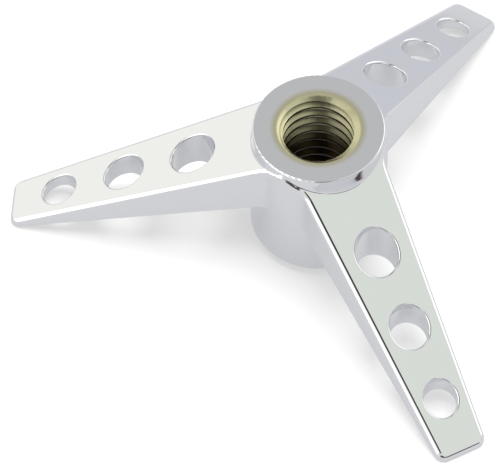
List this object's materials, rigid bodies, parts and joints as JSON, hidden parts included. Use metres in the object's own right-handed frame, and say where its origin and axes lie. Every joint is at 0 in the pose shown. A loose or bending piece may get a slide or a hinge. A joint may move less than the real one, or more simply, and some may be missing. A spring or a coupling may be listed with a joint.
{
  "type": "three-arm wing nut",
  "caption": "Chromed three-arm wing nut: a threaded through hub with a raised collar and a plain boss, and three drooping tapered arms with lightening holes.",
  "frame": {"origin": "on the thread's axis, at the flat seat under the boss", "axes": "+Z along the thread's axis, from the seat to the collar; +X along the first arm"},
  "size_m": [0.0466, 0.0534, 0.0153],
  "materials": {
    "chrome_plate": "polished chrome plate on a zinc die casting"
  },
  "bodies": {
    "root": {"three_arm_nut": "chrome_plate"}
  },
  "joints": []
}
